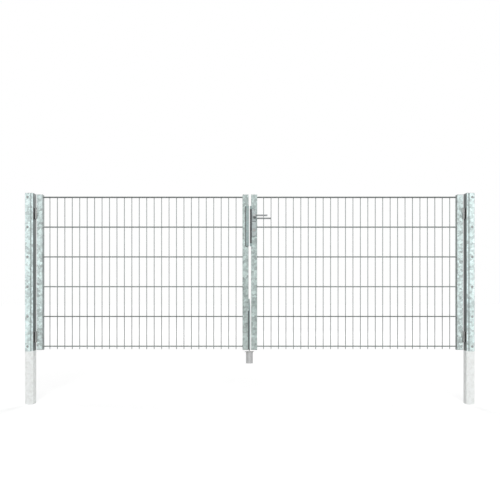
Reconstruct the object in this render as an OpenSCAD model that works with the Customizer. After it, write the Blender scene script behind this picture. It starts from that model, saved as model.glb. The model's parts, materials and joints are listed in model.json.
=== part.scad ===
// Double swing gate: two welded-mesh leaves hung between two square posts.
// X runs along the gate, Y from the front (-Y) to the back, Z up. Millimetres.
// The origin is at the foot of the left post, on its axis; both leaves open towards -Y.

/* [Opening] */
// Clear width between the posts' inner faces
clear_w = 2888; // [2208:20:3608]
// Gap between a post and its leaf
post_gap = 18; // [16:1:24]
// Gap between the two leaves where they meet
leaf_gap = 18; // [18:1:26]

/* [Posts] */
// Width of a post across the gate
post_w = 56; // [54:1:80]
// Depth of a post from front to back
post_d = 60; // [56:1:80]
// Wall of the post tube
post_wall = 3; // [2:0.5:5]
// Outer corner radius of the post tube
post_r = 5; // [4:0.5:8]
// Height of the post tube above the top of a leaf
post_rise = 6; // [2:1:60]
// Length of a post below the ground
post_bury = 355; // [200:5:600]
// Thickness of a post's end cap
cap_t = 3; // [2:0.5:6]

/* [Cover strips] */
// Width of the cover strip on a post's front
strip_w = 41; // [36:1:42]
// Thickness of the cover strip
strip_t = 6; // [4:0.5:8]
// Width of the strip's sloping inner edge
strip_slope = 8; // [6:1:12]
// Distance from the post's inner face to the strip's edge
strip_inset = 12; // [8:0.5:12]
// Height of the lowest screw above the ground
screw_foot = 32; // [20:1:60]
// Spacing of the screws
screw_pitch = 199; // [150:1:250]
// Diameter of a strip screw's head
screw_d = 13; // [8:1:16]
// Height of a strip screw's head
screw_h = 3.5; // [2:0.5:6]

/* [Leaves] */
// Height of a leaf
leaf_h = 1040; // [1040:200:1440]
// Clearance under a leaf
leaf_clear = 7; // [5:1:40]
// Side of the square tube of a leaf's stiles
stile_w = 40; // [38:1:44]
// Wall of the stile tube
stile_wall = 2; // [1.5:0.5:3]
// Outer corner radius of the stile tube
stile_r = 3; // [2:0.5:4]
// Thickness of the end caps of the stiles
stile_cap_t = 3; // [2:0.5:5]

/* [Mesh] */
// Diameter of the horizontal rods, which run in pairs
rod_d = 8; // [6:0.5:10]
// Diameter of the upright wires between the rods
wire_d = 5; // [4:0.5:8]
// Spacing of the upright wires
wire_pitch = 50; // [40:1:70]
// Spacing of the rows of rods
row_pitch = 200; // [150:5:250]
// Height of the lowest row above the foot of the leaf
row_foot = 24; // [20:1:60]
// Least distance from the top row to the top of the leaf
row_head = 15; // [10:1:30]
// Length of the wires below the lowest row
wire_tail = 20; // [10:1:20]
// Least distance from a stile to the nearest wire
wire_margin = 20; // [15:1:25]
// Depth that a wire and a rod are pressed into each other at a weld
weld_bite = 0.5; // [0.3:0.1:1]

/* [Hinges] */
// Outer diameter of the hinge knuckles
knuckle_d = 15; // [14:1:18]
// Distance from the stiles' front to the hinges' axis
hinge_stand = 10; // [10:0.5:12]
// Height of a hinge, both knuckles together
hinge_h = 71; // [60:1:100]
// Diameter of the hinge pin
pin_d = 8; // [7:1:10]
// Radial running clearance of the pin
pin_clear = 0.05; // [0.02:0.01:0.1]
// Distance from the top of the leaf to the middle of the upper hinge
hinge_drop = 128; // [100:1:200]
// Distance from the foot of the leaf to the middle of the lower hinge
hinge_rise = 88; // [60:1:200]
// Thickness of the hinge plate on the post
plate_t = 6; // [4:0.5:7]
// Depth of the hinge plate from front to back
plate_d = 34; // [28:1:40]

/* [Lock] */
// Distance from the top of the leaf to the middle of the lock
lock_drop = 189; // [180:1:300]
// Width of the lock's cover plates
lock_w = 32; // [28:1:34]
// Height of the lock's cover plates
lock_h = 182; // [176:1:200]
// Thickness of the lock's cover plates
lock_t = 8; // [5:0.5:10]
// Height of the lever spindle above the middle of the lock
spindle_rise = 42; // [38:1:60]
// Distance from the spindle down to the key cylinder
cylinder_drop = 92; // [72:1:95]
// Distance from the spindle to the tip of the front lever
front_lever_len = 87; // [80:1:130]
// Distance from the spindle to the tip of the back lever
back_lever_len = 116; // [80:1:130]
// Distance from the lock plate to the middle of a lever's grip
lever_reach = 47; // [40:1:60]
// Diameter of a lever's neck
neck_d = 14; // [12:1:16]
// Height of a lever's grip
lever_grip_h = 10; // [8:1:13]
// Depth of a lever's grip from front to back
lever_grip_d = 16; // [12:1:20]
// Side of the square spindle
spindle_w = 8; // [6:1:9]

/* [Strike] */
// Width of the strike's front plate
strike_w = 20; // [18:1:28]
// Height of the strike
strike_h = 262; // [240:1:280]
// Thickness of the strike's front plate
strike_t = 6; // [4:0.5:8]
// Height of the lock's hood and of the strike's shelf
hood_h = 20; // [14:1:30]
// Width of the dark gasket at the strike's edge
gasket_w = 5; // [3:0.5:6]
// Clear slit between the pieces of the two leaves
slit = 6; // [6:0.5:7]

/* [Drop bolt] */
// Diameter of the drop rod
bolt_d = 10; // [8:0.5:10]
// Travel of the drop rod
bolt_throw = 50; // [40:1:55]
// Height of the cover in front of the drop rod
cover_h = 258; // [240:1:280]
// Outer diameter of the ground sleeve's tube
sleeve_d = 46; // [40:1:60]
// Length of the ground sleeve's tube
sleeve_len = 76; // [70:1:120]
// Wall of the ground sleeve's tube
sleeve_wall = 3; // [2:0.5:5]
// Diameter of the ground sleeve's flange
flange_d = 65; // [58:1:90]
// Thickness of the ground sleeve's flange
flange_t = 3; // [2:0.5:5]
// Gap between the foot of the leaf and the sleeve's flange
flange_gap = 11; // [8:1:20]

/* [Hidden] */

fine = 48;      // sides of round holes, pins and bars that turn
bar_sides = 8;  // sides of the mesh bars
eps = 1;        // how far a cutting tool runs past a face
seat = 0.3;     // clearance between a moving piece and what it runs against
plug_fit = 0.5; // clearance of a cap's plug in its tube
plug_len = 12;  // length of a cap's plug
LEFT = -1;
RIGHT = 1;

mid_x = (clear_w + post_w) / 2;     // the middle of the gate, from the left post's axis
post_x = mid_x;                     // a post's axis, from the middle
leaf_w = clear_w / 2 - post_gap - leaf_gap / 2;
meet_in = leaf_gap / 2;             // a meeting stile's free face
hinge_out = meet_in + leaf_w;       // a hinge stile's face towards the post
stile_x_meet = meet_in + stile_w / 2;
stile_x_hinge = hinge_out - stile_w / 2;
mesh_x0 = meet_in + stile_w;
mesh_x1 = hinge_out - stile_w;
leaf_top = leaf_clear + leaf_h;
front = -stile_w / 2;               // front face of the stiles
post_front = -post_d / 2;

row_count = floor((leaf_h - row_foot - row_head) / row_pitch) + 1;
wire_count = floor((mesh_x1 - mesh_x0 - 2 * wire_margin) / wire_pitch) + 1;
wire_x0 = (mesh_x0 + mesh_x1 - (wire_count - 1) * wire_pitch) / 2;
flat = cos(180 / bar_sides);        // a bar's half width over its flats, as a share of its radius
rod_y = (rod_d + wire_d) / 2 * flat - weld_bite;
row_z0 = leaf_clear + row_foot;
top_row_z = row_z0 + (row_count - 1) * row_pitch;

post_h = leaf_top + post_rise;      // height of a post tube above the ground
strip_x0 = clear_w / 2 + strip_inset;
strip_y = post_front - strip_t;     // front face of a cover strip
screw_x = strip_x0 + (strip_slope + strip_w) / 2;
screw_count = floor((post_h - 2 * screw_d - screw_foot) / screw_pitch) + 1;

hinge_x = hinge_out - 1;            // the hinges' axis
hinge_y = front - hinge_stand;
hinge_z = [leaf_clear + hinge_rise, leaf_top - hinge_drop];

lock_z = leaf_top - lock_drop;
lock_x = stile_x_meet;
spindle_z = lock_z + spindle_rise;
cylinder_z = spindle_z - cylinder_drop;
grip_y = front - lock_t - lever_reach;
pad_w = 10;                         // width of a hinge's pad, from its axis
forend_t = 9;                       // depth of the lock's forend, across the gap
web_d = 7;                          // depth of the web between plate and knuckle
pocket_h = 32;                      // height of the latch's pocket in the strike
forend_x = meet_in - forend_t;      // the forend's free face
keep_x = forend_x - slit;           // the strike's free face
strike_x0 = keep_x - strike_w;
collar_d = 20;                      // diameter of a lever's collar
cylinder_d = 17;                    // diameter of the key cylinder
plate_bevel = 2;                    // bevel of the lock plates' edges
plate_joint_z = spindle_rise - 33;  // joint line of the lock plates, above the lock's middle
joint_w = 4;                        // width of the joint line
lip_w = 4;                          // how far the seal's lip reaches over the stile
lip_t = 2;                          // thickness of the lip, the gasket and the forend's edge
lock_top = lock_z + lock_h / 2;
strike_top = lock_top + hood_h;
strike_foot = strike_top - strike_h;
forend_foot = strike_foot + 13;
block_foot = forend_foot - hood_h;  // foot of the lower end blocks
case_h = lock_h - 20;
fit = 0.5;                          // clearance round the latch and the dead bolt
bolts_half = 6;                     // half depth of the latch and the dead bolt
latch_half = 12;                    // half height of the latch
dead_z = [14, 44];                  // the dead bolt's foot and top, above the key cylinder
foot_block_w = 15;                  // width of the lock's lower end block, out to the stile's flat front
block_t = 8;                        // depth of the lock's end blocks
strike_block_t = 4;                 // depth of the strike's end blocks
hole_d = spindle_w * sqrt(2) + 1;   // round hole that the square spindle turns in

bolt_x = -meet_in + bolt_d / 2 + 1;
cover_x = meet_in - slit;           // free face of the bolt's guides and cover
cover_z0 = leaf_clear + 5;
cover_t = 3;                        // thickness of the cover
cover_slot = 3;                     // open slot between the stile and the cover
flange_z = leaf_clear - flange_gap;
rod_tip_z = flange_z + 5;           // the rod is drawn up clear of the sleeve
grip_z = cover_z0 + cover_h;        // foot of the drop rod's grip
grip_h = 80;
grip_d = 12;                        // depth of the grip from front to back
tab_len = 30;                       // how far the grip's finger tab stands out
tab_h = 10;
rod_point = 3;                      // height of the drop rod's tapered point
guide_d = 26;                       // depth of a bolt guide from front to back
guide_h = 30;

// Puts a child drawn about the middle of the gate, at ground level, in its place.
module gate() translate([mid_x, 0, post_bury]) children();

// A child drawn for the right side, put on the given side of the gate.
module on_side(side) gate() mirror([side < 0 ? 1 : 0, 0, 0]) children();

// A square with round corners, made of plain squares and circles.
module round_square(w, d, r) {
    square([w, d - 2 * r], center = true);
    square([w - 2 * r, d], center = true);
    for (x = [-1, 1], y = [-1, 1])
        translate([x * (w / 2 - r), y * (d / 2 - r)]) circle(r, $fn = fine);
}

// An upright square tube from height z0 to z1.
module square_tube(w, d, r, wall, z0, z1) {
    translate([0, 0, z0]) linear_extrude(z1 - z0) difference() {
        round_square(w, d, r);
        round_square(w - 2 * wall, d - 2 * wall, max(r - wall, 0.5));
    }
}

// A cap with a plug: a plate of thickness t from height z, its plug on the side of dir.
module end_cap(w, d, r, wall, t, z, dir) {
    translate([0, 0, z]) linear_extrude(t) round_square(w, d, r);
    plug = [w - 2 * wall - 2 * plug_fit, d - 2 * wall - 2 * plug_fit];
    translate([-plug[0] / 2, -plug[1] / 2, dir < 0 ? z - plug_len : z + t]) cube([plug[0], plug[1], plug_len]);
}

// A flat outline drawn in X and Z, made solid from y0 to y1.
module upright(y0, y1) translate([0, y1, 0]) rotate([90, 0, 0]) linear_extrude(y1 - y0) children();

// A box between two corners.
module block(x0, x1, y0, y1, z0, z1) translate([x0, y0, z0]) cube([x1 - x0, y1 - y0, z1 - z0]);

// A round bar along Y from y0 to y1.
module bar_y(d, y0, y1) translate([0, y0, 0]) rotate([-90, 0, 0]) cylinder(h = y1 - y0, d = d, $fn = fine);

module post(side) color("gainsboro")
    on_side(side) translate([post_x, 0, 0]) square_tube(post_w, post_d, post_r, post_wall, -post_bury, post_h);

module post_cap(side) color("darkgray")
    on_side(side) translate([post_x, 0, 0]) end_cap(post_w, post_d, post_r, post_wall, cap_t, post_h, -1);

// The strip on a post's front: a flat bar whose inner edge slopes back to the post.
module cover_strip(side) color("gainsboro") on_side(side) translate([strip_x0, post_front, 0])
    linear_extrude(post_h) polygon([[0, 0], [strip_slope, -strip_t], [strip_w - 1, -strip_t],
        [strip_w, -strip_t + 1], [strip_w, 0]]);

// The strip's screws: domed heads with a hexagon socket.
module strip_screws(side) color("gray") on_side(side)
    for (i = [0:screw_count - 1])
        translate([screw_x, strip_y, screw_foot + i * screw_pitch]) rotate([90, 0, 0]) difference() {
            rotate_extrude($fn = fine) polygon([[0, 0], [screw_d / 2, 0], [screw_d / 2, screw_h * 0.4],
                [screw_d * 0.34, screw_h * 0.85], [screw_d * 0.18, screw_h], [0, screw_h]]);
            translate([0, 0, screw_h * 0.45]) cylinder(h = screw_h, d = screw_d * 0.34, $fn = 6);
        }

// The hinge plates on a post, each with the web that carries the lower knuckle.
module hinge_plates(side) color("dimgray") on_side(side)
    for (z = hinge_z) {
        block(clear_w / 2 - plate_t, clear_w / 2, post_front, post_front + plate_d,
            z - hinge_h / 2, z + hinge_h / 2);
        difference() {
            block(hinge_x, clear_w / 2 - plate_t, hinge_y, hinge_y + web_d, z - hinge_h / 2, z - seat / 2);
            translate([hinge_x, hinge_y, z - hinge_h]) cylinder(h = 2 * hinge_h, d = knuckle_d, $fn = fine);
        }
    }

// The post's halves of the hinges: the lower knuckle and the pin.
module hinge_pins(side) color("silver") on_side(side)
    for (z = hinge_z) translate([hinge_x, hinge_y, z]) {
        translate([0, 0, -hinge_h / 2]) cylinder(h = hinge_h / 2 - seat / 2, d = knuckle_d, $fn = fine);
        translate([0, 0, -seat]) cylinder(h = hinge_h / 2 + seat - 1, d = pin_d, $fn = fine);
    }

// The leaf's halves of the hinges: upper knuckle with its bore, and the pad welded to the stile.
module hinge_knuckles(side) color("silver") on_side(side)
    for (z = hinge_z) translate([hinge_x, hinge_y, z + seat / 2]) difference() {
        union() {
            cylinder(h = (hinge_h - seat) / 2, d = knuckle_d, $fn = fine);
            block(-pad_w, 0, 0, front - hinge_y, 0, (hinge_h - seat) / 2);
        }
        translate([0, 0, -eps]) cylinder(h = hinge_h, d = pin_d + 2 * pin_clear, $fn = fine);
    }

module stile(side, x) color("gainsboro") on_side(side) translate([x, 0, 0])
    square_tube(stile_w, stile_w, stile_r, stile_wall, leaf_clear + stile_cap_t, leaf_top - stile_cap_t);

module hinge_stile(side) stile(side, stile_x_hinge);

module left_meeting_stile() stile(LEFT, stile_x_meet);

// The stile that holds the lock: drilled for the spindle and the cylinder, slotted for the case.
module right_meeting_stile() difference() {
    stile(RIGHT, stile_x_meet);
    gate() {
        translate([lock_x, 0, spindle_z]) bar_y(hole_d + 4, front - eps, -front + eps);
        translate([lock_x, 0, cylinder_z]) bar_y(22, front - eps, -front + eps);
        block(meet_in - eps, meet_in + stile_wall + eps, -9, 9, lock_z - case_h / 2 - 1, lock_z + case_h / 2 + 1);
    }
}

module stile_caps(side) color("darkgray") on_side(side)
    for (x = [stile_x_meet, stile_x_hinge]) translate([x, 0, 0]) {
        end_cap(stile_w, stile_w, stile_r, stile_wall, stile_cap_t, leaf_top - stile_cap_t, -1);
        end_cap(stile_w, stile_w, stile_r, stile_wall, stile_cap_t, leaf_clear, 1);
    }

// The welded mesh: upright wires with a pair of rods at each row, front and back.
module mesh(side) color("lightgray") on_side(side) {
    for (i = [0:wire_count - 1])
        translate([wire_x0 + i * wire_pitch, 0, row_z0 - wire_tail]) rotate(180 / bar_sides)
            cylinder(h = top_row_z + rod_d / 2 - row_z0 + wire_tail, d = wire_d, $fn = bar_sides);
    for (i = [0:row_count - 1], y = [-rod_y, rod_y])
        translate([mesh_x0, y, row_z0 + i * row_pitch]) rotate([0, 90, 0]) rotate(180 / bar_sides)
            cylinder(h = mesh_x1 - mesh_x0, d = rod_d, $fn = bar_sides);
}

// The mortise case in the stile, with the latch and the dead bolt drawn in behind the forend.
module lock_case() color("dimgray") gate() difference() {
    union() {
        block(meet_in + fit, meet_in + stile_w - stile_wall - 1, -8, 8, lock_z - case_h / 2, lock_z + case_h / 2);
        block(forend_x + fit, meet_in + 1, -bolts_half, bolts_half, spindle_z - latch_half, spindle_z + latch_half);
        block(forend_x + fit, meet_in + 1, -bolts_half, bolts_half, cylinder_z + dead_z[0], cylinder_z + dead_z[1]);
    }
    translate([lock_x, 0, spindle_z]) bar_y(hole_d, -10, 10);
    translate([lock_x, 0, cylinder_z]) bar_y(19, -10, 10);
}

// The forend: a bent plate along the stile's free face and round its front edge.
module lock_forend() color("#303234") gate() difference() {
    union() {
        block(forend_x, meet_in, front - lip_t, -front - 4, forend_foot, lock_top);
        block(meet_in, lock_x - lock_w / 2, front - lip_t, front, forend_foot, lock_top);
    }
    half = bolts_half + fit;
    rise = latch_half + fit;
    block(forend_x - eps, meet_in + eps, -half, half, spindle_z - rise, spindle_z + rise);
    block(forend_x - eps, meet_in + eps, -half, half, cylinder_z + dead_z[0] - fit, cylinder_z + dead_z[1] + fit);
}

// A cover plate of the lock: chamfered edges, a joint line under the lever, and holes for lever and key.
module lock_plate(dir) color("silver")
    gate() translate([lock_x, dir * -front, lock_z]) scale([1, dir, 1]) difference() {
    hull() {
        block(-lock_w / 2, lock_w / 2, 0, lock_t - plate_bevel, -lock_h / 2, lock_h / 2);
        block(-lock_w / 2 + plate_bevel, lock_w / 2 - plate_bevel, 0, lock_t,
            -lock_h / 2 + plate_bevel, lock_h / 2 - plate_bevel);
    }
    block(-lock_w, lock_w, lock_t - plate_bevel * 0.7, lock_t + eps,
        plate_joint_z - joint_w / 2, plate_joint_z + joint_w / 2);
    translate([0, 0, spindle_z - lock_z]) bar_y(collar_d + 2 * seat, lock_t - 4, lock_t + eps);
    translate([0, 0, spindle_z - lock_z]) bar_y(hole_d, -eps, lock_t + eps);
    translate([0, 0, cylinder_z - lock_z]) bar_y(cylinder_d, -eps, lock_t + eps);
}

// The key cylinder: a barrel right through the lock, with a key slot at each end.
module key_cylinder() color("darkkhaki") gate() translate([lock_x, 0, cylinder_z]) difference() {
    half = -front + lock_t + 2;
    bar_y(cylinder_d, -half, half);
    for (s = [-1, 1]) block(-1, 1, s < 0 ? -half - eps : half - 4, s < 0 ? -half + 4 : half + eps, -5, 5);
}

// The blocks that close the lock's dark joint above and below, on the right leaf.
module lock_end_blocks() color("gainsboro") gate() {
    upright(front - block_t, front) polygon([[forend_x, lock_top], [forend_x + 18, lock_top],
        [forend_x + 12, lock_top + hood_h], [forend_x, lock_top + hood_h]]);
    block(forend_x, forend_x + foot_block_w, front - block_t, front, block_foot, block_foot + hood_h);
}

// A lever: a collar on the plate, a neck, and a flat oval grip with a rounded tip.
module lever(dir, length) color("lightslategray")
    gate() translate([lock_x, dir * -front, spindle_z]) scale([1, dir, 1]) difference() {
    union() {
        bar_y(collar_d, lock_t - 4 + seat, lock_t + 6);
        bar_y(neck_d, lock_t - 4 + seat, lock_t + lever_reach + lever_grip_d / 2);
        intersection() {
            translate([0, lock_t + lever_reach, 0]) rotate([90, 0, 90])
                linear_extrude(length) round_square(lever_grip_d, lever_grip_h, lever_grip_h / 2 - 0.5);
            translate([0, lock_t + lever_reach, -neck_d]) linear_extrude(2 * neck_d) {
                translate([0, -lever_grip_d]) square([length - lever_grip_d / 2, 2 * lever_grip_d]);
                translate([length - lever_grip_d / 2, 0]) circle(lever_grip_d / 2, $fn = fine);
            }
        }
    }
    block(-spindle_w / 2, spindle_w / 2, 0, lock_t + 20, -spindle_w / 2, spindle_w / 2);
}

module lever_spindle() color("silver") gate()
    block(lock_x - spindle_w / 2, lock_x + spindle_w / 2, front - lock_t - 20, -front + lock_t + 20,
        spindle_z - spindle_w / 2, spindle_z + spindle_w / 2);

// The strike: a front plate and a side cheek along the left meeting stile, with pockets for the bolts.
module strike_plate() color("gainsboro") gate() difference() {
    union() {
        block(strike_x0, keep_x, front - strike_t, front, strike_foot, strike_top);
        block(-meet_in, keep_x, front - strike_t, pocket_h / 4 + 1, strike_foot, strike_top);
    }
    strike_pockets();
}

// The pockets for the latch and the dead bolt.
module strike_pockets() {
    half = pocket_h / 4;
    block(-meet_in - eps, keep_x + eps, -half, half, spindle_z - pocket_h / 2, spindle_z + pocket_h / 2);
    block(-meet_in - eps, keep_x + eps, -half, half, cylinder_z + dead_z[0] - 4, cylinder_z + dead_z[1] + 4);
}

// The rubber buffer along the back of the cheek, and the dark gasket at the front plate's edge.
module strike_buffer() color("#303234") gate() {
    block(-meet_in, keep_x, pocket_h / 4 + 1, -front - 4, forend_foot, lock_top);
    block(strike_x0 - gasket_w, strike_x0, front - lip_t, front, strike_foot, strike_top);
}

// The blocks that close the strike's dark joint above and below, on the left leaf.
module strike_end_blocks() color("gainsboro") gate() {
    upright(front - strike_t - strike_block_t, front - strike_t) polygon([[keep_x - 11, lock_top], [keep_x, lock_top],
        [keep_x, strike_top], [keep_x - 7, strike_top]]);
    block(keep_x - 7, keep_x, front - strike_t - strike_block_t, front - strike_t, block_foot, block_foot + hood_h);
}

module bolt_guides() color("silver") gate() difference() {
    for (z = [leaf_clear + 15, grip_z - bolt_throw - guide_h - 6])
        block(-meet_in, cover_x, -guide_d / 2, guide_d / 2, z, z + guide_h);
    translate([bolt_x, 0, 0]) cylinder(h = leaf_top, d = bolt_d + 2 * pin_clear, $fn = fine);
}

// The cover in front of the drop rod; a narrow slot stays open beside the stile.
module bolt_cover() color("gainsboro") gate()
    block(-meet_in + cover_slot, cover_x, -guide_d / 2 - cover_t, -guide_d / 2, cover_z0, grip_z);

// The rubber seal that closes the slot beside the cover: a lip over the stile's front and a web in the slot.
module bolt_seal() color("#303234") gate() {
    block(-meet_in - lip_w, -meet_in + cover_slot, front - lip_t, front, cover_z0, grip_z);
    block(-meet_in, -meet_in + cover_slot, front, -guide_d / 2, cover_z0, grip_z);
}

module drop_rod() color("silver") gate() translate([bolt_x, 0, rod_tip_z]) {
    cylinder(h = rod_point, d1 = bolt_d - 4, d2 = bolt_d, $fn = fine);
    translate([0, 0, rod_point]) cylinder(h = grip_z - rod_tip_z - rod_point, d = bolt_d, $fn = fine);
}

// The grip on top of the drop rod: a tapered block with a finger tab that stands out to the front.
module drop_rod_grip() color("gainsboro") gate() {
    foot = [-meet_in + 0.6, cover_x];
    upright(-grip_d / 2, grip_d / 2) polygon([[foot[0], grip_z], [foot[1], grip_z],
        [foot[1] - 1.5, grip_z + grip_h / 2], [foot[1] - 5, grip_z + grip_h], [foot[0], grip_z + grip_h]]);
    block(foot[0], foot[1] - 5, -grip_d / 2 - tab_len, -grip_d / 2, grip_z + grip_h - tab_h, grip_z + grip_h);
}

module ground_sleeve() color("darkgray") gate() translate([bolt_x, 0, flange_z]) difference() {
    union() {
        translate([0, 0, -flange_t]) cylinder(h = flange_t, d = flange_d, $fn = fine);
        translate([0, 0, -flange_t - sleeve_len]) cylinder(h = sleeve_len, d = sleeve_d, $fn = fine);
    }
    translate([0, 0, -flange_t - sleeve_len - eps])
        cylinder(h = sleeve_len + flange_t + 2 * eps, d = sleeve_d - 2 * sleeve_wall, $fn = fine);
}

post(LEFT);  // left_post
post(RIGHT);  // right_post
post_cap(LEFT);  // left_post_cap
post_cap(RIGHT);  // right_post_cap
cover_strip(LEFT);  // left_cover_strip
cover_strip(RIGHT);  // right_cover_strip
strip_screws(LEFT);  // left_strip_screws
strip_screws(RIGHT);  // right_strip_screws
hinge_plates(LEFT);  // left_hinge_plates
hinge_plates(RIGHT);  // right_hinge_plates
hinge_pins(LEFT);  // left_hinge_pins
hinge_pins(RIGHT);  // right_hinge_pins
ground_sleeve();
hinge_stile(LEFT);  // left_hinge_stile
left_meeting_stile();
stile_caps(LEFT);  // left_stile_caps
mesh(LEFT);  // left_mesh
hinge_knuckles(LEFT);  // left_hinge_knuckles
strike_plate();
strike_buffer();
strike_end_blocks();
bolt_guides();
bolt_cover();
bolt_seal();
drop_rod();
drop_rod_grip();
hinge_stile(RIGHT);  // right_hinge_stile
right_meeting_stile();
stile_caps(RIGHT);  // right_stile_caps
mesh(RIGHT);  // right_mesh
hinge_knuckles(RIGHT);  // right_hinge_knuckles
lock_case();
lock_forend();
lock_plate(-1);  // front_lock_plate
lock_plate(1);  // back_lock_plate
key_cylinder();
lock_end_blocks();
lever(-1, front_lever_len);  // front_lever
lever(1, back_lever_len);  // back_lever
lever_spindle();
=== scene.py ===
"""Looks of a double-leaf driveway gate: finishes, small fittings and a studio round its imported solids."""

import json
import logging
import math
import random
from dataclasses import dataclass
from enum import Enum
from typing import Iterator, Sequence, Union

import bmesh
import bpy
from mathutils import Matrix, Vector

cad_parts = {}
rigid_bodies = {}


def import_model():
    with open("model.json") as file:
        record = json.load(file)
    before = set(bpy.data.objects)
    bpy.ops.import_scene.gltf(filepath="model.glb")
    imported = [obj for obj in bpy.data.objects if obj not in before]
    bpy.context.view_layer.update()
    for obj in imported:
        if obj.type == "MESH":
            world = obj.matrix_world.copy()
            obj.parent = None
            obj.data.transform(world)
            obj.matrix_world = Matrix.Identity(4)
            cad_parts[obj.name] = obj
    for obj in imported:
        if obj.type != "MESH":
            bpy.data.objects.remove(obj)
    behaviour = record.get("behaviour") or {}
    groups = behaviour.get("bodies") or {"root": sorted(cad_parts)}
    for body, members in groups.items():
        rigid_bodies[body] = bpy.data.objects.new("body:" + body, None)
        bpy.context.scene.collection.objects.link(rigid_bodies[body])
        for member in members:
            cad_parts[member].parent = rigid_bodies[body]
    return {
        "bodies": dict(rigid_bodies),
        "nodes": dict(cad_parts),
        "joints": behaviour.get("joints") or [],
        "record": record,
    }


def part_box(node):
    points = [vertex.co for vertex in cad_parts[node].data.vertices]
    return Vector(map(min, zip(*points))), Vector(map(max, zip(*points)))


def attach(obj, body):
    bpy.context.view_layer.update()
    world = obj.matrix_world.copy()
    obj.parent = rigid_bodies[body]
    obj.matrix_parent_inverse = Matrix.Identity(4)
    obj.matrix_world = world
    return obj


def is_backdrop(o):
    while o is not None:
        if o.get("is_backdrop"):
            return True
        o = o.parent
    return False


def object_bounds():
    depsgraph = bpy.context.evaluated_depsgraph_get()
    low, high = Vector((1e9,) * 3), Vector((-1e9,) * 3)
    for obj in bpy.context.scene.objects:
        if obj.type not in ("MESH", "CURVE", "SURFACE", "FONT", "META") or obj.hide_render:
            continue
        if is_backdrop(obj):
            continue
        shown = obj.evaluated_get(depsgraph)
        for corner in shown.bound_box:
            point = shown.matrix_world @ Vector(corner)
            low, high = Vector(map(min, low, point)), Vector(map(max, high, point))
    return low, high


Colour = tuple[float, float, float]
Point = tuple[float, float, float]
Steps = tuple[tuple[float, float], ...]
Socket = bpy.types.NodeSocket
Feed = Union[Socket, float, Sequence[float]]
Layout = tuple[Socket, Socket, Socket, float]

log = logging.getLogger("driveway_gate")

MM = 0.001
TURN = 2.0 * math.pi
SMOOTH_ANGLE = math.radians(35.0)
GROUND_Z = 0.355
MIDDLE_X = 1.472
FRONT = Vector((0.0, -1.0, 0.0))
BACK = Vector((0.0, 1.0, 0.0))
UP = Vector((0.0, 0.0, 1.0))


class Body(Enum):
    """The parts of the gate that move as one."""

    POSTS = "posts"
    LEFT_LEAF = "left_leaf"
    RIGHT_LEAF = "right_leaf"


class Side(Enum):
    """The two sides of the gate, with the sign of their X."""

    LEFT = -1
    RIGHT = 1

    @property
    def word(self) -> str:
        """The side's name in node names."""
        return self.name.lower()

    @property
    def leaf(self) -> Body:
        """The leaf hung on this side."""
        return Body.LEFT_LEAF if self is Side.LEFT else Body.RIGHT_LEAF


class Slot(Enum):
    """The record's material slots, which the added pieces are handed but do not use."""

    WIRE = "galvanised_wire"
    FITTING = "galvanised_fitting"
    HINGE = "hinge_steel"
    SCREW = "zinc_screw"
    LOCK_STEEL = "lock_steel"
    PLATE = "dark_plate"
    RUBBER = "black_rubber"
    POST = "galvanised_post"
    SLEEVE = "sleeve_steel"


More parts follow.
